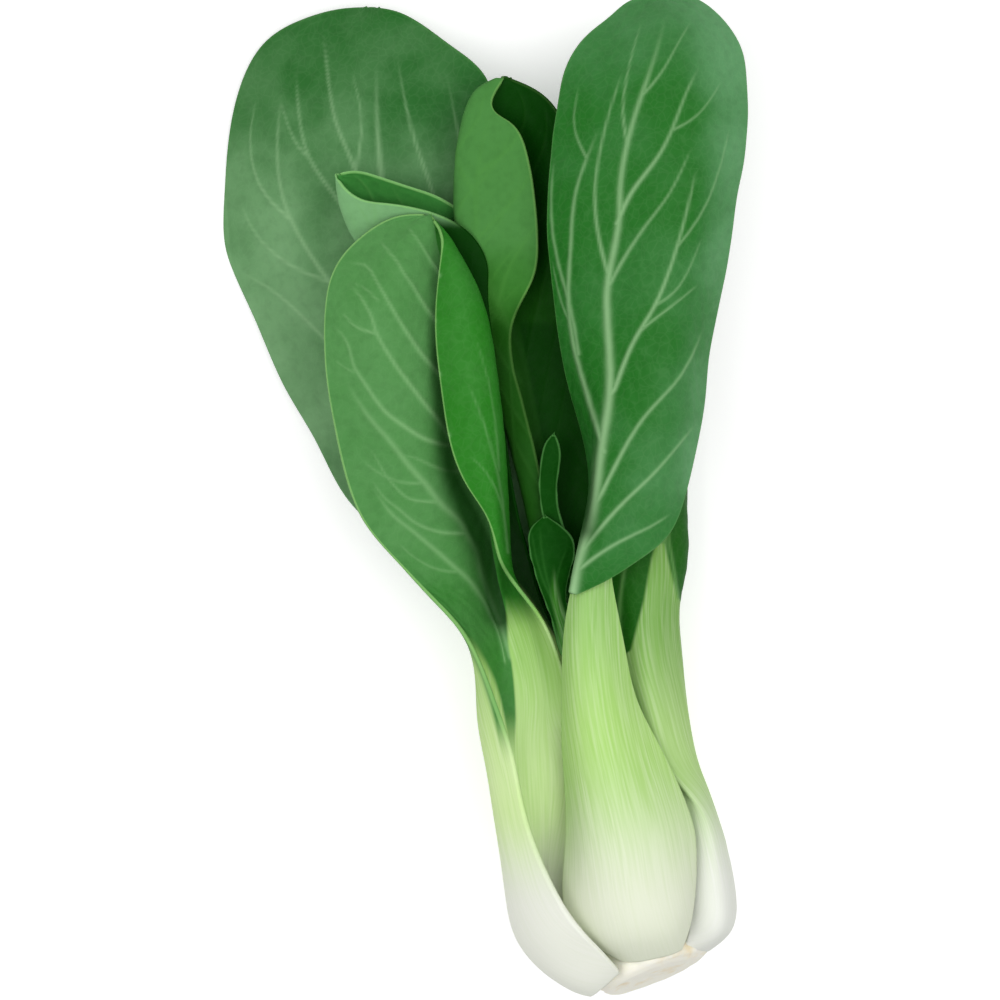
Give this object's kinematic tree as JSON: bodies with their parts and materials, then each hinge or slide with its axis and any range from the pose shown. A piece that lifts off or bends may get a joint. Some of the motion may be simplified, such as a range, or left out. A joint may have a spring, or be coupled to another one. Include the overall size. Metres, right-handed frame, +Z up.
{
  "type": "bok choy",
  "caption": "Head of bok choy cut from its root and lying on its back, with pale swollen stalks and broad dark green blades",
  "frame": {"origin": "on the ground under the middle of the head's box", "axes": "+Y from the cut end to the leaf tips, +Z up to the front leaves, +X to the right leaf"},
  "size_m": [0.1358, 0.2556, 0.0603],
  "materials": {
    "stalk_white": "moist waxy plant skin, white shading to pale green",
    "stalk_green": "moist waxy plant skin, pale green",
    "blade": "soft satin leaf, deep green with pale veins",
    "blade_inner": "soft satin leaf, bright green, shaded",
    "cut": "moist cut stem, cream with tan fibres"
  },
  "bodies": {
    "root": {"stem_base": "cut", "left_leaf_stalk": "stalk_white", "left_leaf_blade": "blade", "front_leaf_stalk": "stalk_green", "front_leaf_blade": "blade", "right_leaf_stalk": "stalk_white", "right_leaf_blade": "blade", "back_left_leaf_stalk": "stalk_white", "back_left_leaf_blade": "blade", "back_right_leaf_stalk": "stalk_white", "back_right_leaf_blade": "blade", "cup_leaf_stalk": "stalk_green", "cup_leaf_blade": "blade_inner", "centre_leaf_stalk": "stalk_green", "centre_leaf_blade": "blade_inner", "heart_leaf_stalk": "blade_inner", "small_heart_leaf_stalk": "blade_inner"}
  },
  "joints": []
}
